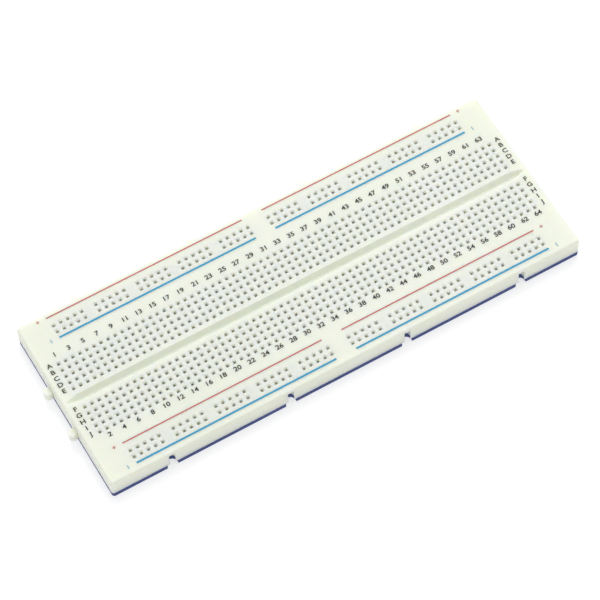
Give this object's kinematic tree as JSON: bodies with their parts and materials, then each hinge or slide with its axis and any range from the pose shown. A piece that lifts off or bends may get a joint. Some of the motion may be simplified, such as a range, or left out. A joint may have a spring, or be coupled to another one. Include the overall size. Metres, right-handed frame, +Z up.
{
  "type": "solderless breadboard",
  "caption": "Flat rectangular solderless prototyping board with a square-hole contact grid, power rails, centre groove, locking tabs and notches, and an adhesive foam back.",
  "frame": {"origin": "centre of the underside of the body, on the release liner's lower face, tabs left out", "axes": "+X along the columns from 1 to 64, +Y across the board towards row A, +Z up out of the tie points"},
  "size_m": [0.1745, 0.0673, 0.0085],
  "materials": {
    "housing_plastic": "satin",
    "contact_metal": "satin",
    "foam": "matte",
    "liner_film": "matte"
  },
  "bodies": {
    "board": {"housing": "housing_plastic", "terminal_clips_a_e_cols_01_04": "contact_metal", "terminal_clips_a_e_cols_05_08": "contact_metal", "terminal_clips_a_e_cols_09_12": "contact_metal", "terminal_clips_a_e_cols_13_16": "contact_metal", "terminal_clips_a_e_cols_17_20": "contact_metal", "terminal_clips_a_e_cols_21_24": "contact_metal", "terminal_clips_a_e_cols_25_28": "contact_metal", "terminal_clips_a_e_cols_29_32": "contact_metal", "terminal_clips_a_e_cols_33_36": "contact_metal", "terminal_clips_a_e_cols_37_40": "contact_metal", "terminal_clips_a_e_cols_41_44": "contact_metal", "terminal_clips_a_e_cols_45_48": "contact_metal", "terminal_clips_a_e_cols_49_52": "contact_metal", "terminal_clips_a_e_cols_53_56": "contact_metal", "terminal_clips_a_e_cols_57_60": "contact_metal", "terminal_clips_a_e_cols_61_64": "contact_metal", "terminal_clips_f_j_cols_01_04": "contact_metal", "terminal_clips_f_j_cols_05_08": "contact_metal", "terminal_clips_f_j_cols_09_12": "contact_metal", "terminal_clips_f_j_cols_13_16": "contact_metal", "terminal_clips_f_j_cols_17_20": "contact_metal", "terminal_clips_f_j_cols_21_24": "contact_metal", "terminal_clips_f_j_cols_25_28": "contact_metal", "terminal_clips_f_j_cols_29_32": "contact_metal", "terminal_clips_f_j_cols_33_36": "contact_metal", "terminal_clips_f_j_cols_37_40": "contact_metal", "terminal_clips_f_j_cols_41_44": "contact_metal", "terminal_clips_f_j_cols_45_48": "contact_metal", "terminal_clips_f_j_cols_49_52": "contact_metal", "terminal_clips_f_j_cols_53_56": "contact_metal", "terminal_clips_f_j_cols_57_60": "contact_metal", "terminal_clips_f_j_cols_61_64": "contact_metal", "rail_clip_a_side_plus_left": "contact_metal", "rail_clip_a_side_plus_right": "contact_metal", "rail_clip_a_side_minus_left": "contact_metal", "rail_clip_a_side_minus_right": "contact_metal", "rail_clip_j_side_plus_left": "contact_metal", "rail_clip_j_side_plus_right": "contact_metal", "rail_clip_j_side_minus_left": "contact_metal", "rail_clip_j_side_minus_right": "contact_metal", "foam_pad": "foam"},
    "liner": {"release_liner": "liner_film"}
  },
  "joints": [
    {"name": "liner_draw_off", "type": "slide", "parent": "board", "child": "liner", "axis": [1, 0, 0], "range_m": [0, 0.18]}
  ]
}
